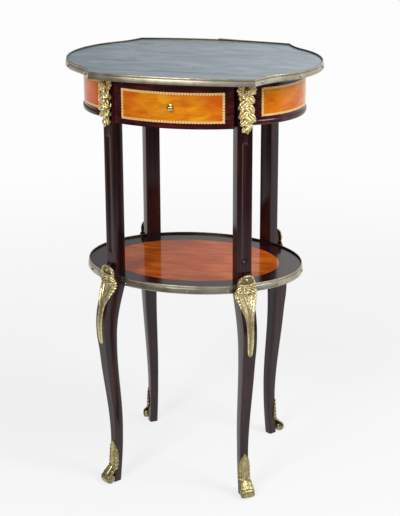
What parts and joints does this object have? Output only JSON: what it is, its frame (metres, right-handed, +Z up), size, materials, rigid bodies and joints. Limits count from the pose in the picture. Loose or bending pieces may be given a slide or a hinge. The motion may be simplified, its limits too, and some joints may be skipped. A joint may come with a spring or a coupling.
{
  "type": "two-tier occasional table",
  "caption": "Free-standing oval two-tier occasional table on cabriole legs, with a shaped stone top in a brass rim, a sliding frieze drawer, an undershelf and gilt leaf mounts.",
  "frame": {"origin": "on the floor under the middle of the top", "axes": "+Z up, -Y towards the side with the drawer, +X to the right of someone facing the drawer"},
  "size_m": [0.45, 0.355, 0.76],
  "materials": {
    "dark_wood": "dark red-black wood, French polished",
    "satinwood": "golden mottled veneer, polished",
    "stringing": "pale stringing, polished",
    "oak": "planed, unpolished",
    "stone": "polished",
    "rim_brass": "polished, pale with age",
    "gilt": "cast, chased and gilded",
    "steel": "plain"
  },
  "bodies": {
    "table": {"leg_front_left": "dark_wood", "leg_front_right": "dark_wood", "leg_back_left": "dark_wood", "leg_back_right": "dark_wood", "side_rail_left": "dark_wood", "side_rail_right": "dark_wood", "back_rail": "dark_wood", "front_rail_lower": "oak", "front_rail_upper": "oak", "side_left_panel": "satinwood", "side_left_stringing": "stringing", "side_right_panel": "satinwood", "side_right_stringing": "stringing", "back_panel": "satinwood", "back_stringing": "stringing", "runner_left": "oak", "runner_right": "oak", "kicker_left": "oak", "kicker_right": "oak", "top_screw_front_left": "steel", "top_screw_front_right": "steel", "top_screw_back_left": "steel", "top_screw_back_right": "steel", "top_board": "oak", "top_slab": "stone", "top_rim_front": "rim_brass", "top_rim_left": "rim_brass", "top_rim_right": "rim_brass", "top_rim_back_left": "rim_brass", "top_rim_back_right": "rim_brass", "shelf_board": "dark_wood", "shelf_oval": "satinwood", "shelf_rim_front": "rim_brass", "shelf_rim_back": "rim_brass", "shelf_rim_left": "rim_brass", "shelf_rim_right": "rim_brass", "chute_front_left": "gilt", "chute_front_right": "gilt", "chute_back_left": "gilt", "chute_back_right": "gilt", "knee_mount_front_left": "gilt", "knee_mount_front_right": "gilt", "knee_mount_back_left": "gilt", "knee_mount_back_right": "gilt", "sabot_front_left": "gilt", "sabot_front_right": "gilt", "sabot_back_left": "gilt", "sabot_back_right": "gilt"},
    "drawer": {"drawer_front": "dark_wood", "drawer_panel": "satinwood", "drawer_stringing": "stringing", "drawer_side_left": "oak", "drawer_side_right": "oak", "drawer_back": "oak", "drawer_bottom": "oak", "drawer_knob": "gilt", "knob_nut": "rim_brass"}
  },
  "joints": [
    {"name": "drawer_slide", "type": "slide", "parent": "table", "child": "drawer", "axis": [0, -1, 0], "range_m": [0, 0.15]}
  ]
}
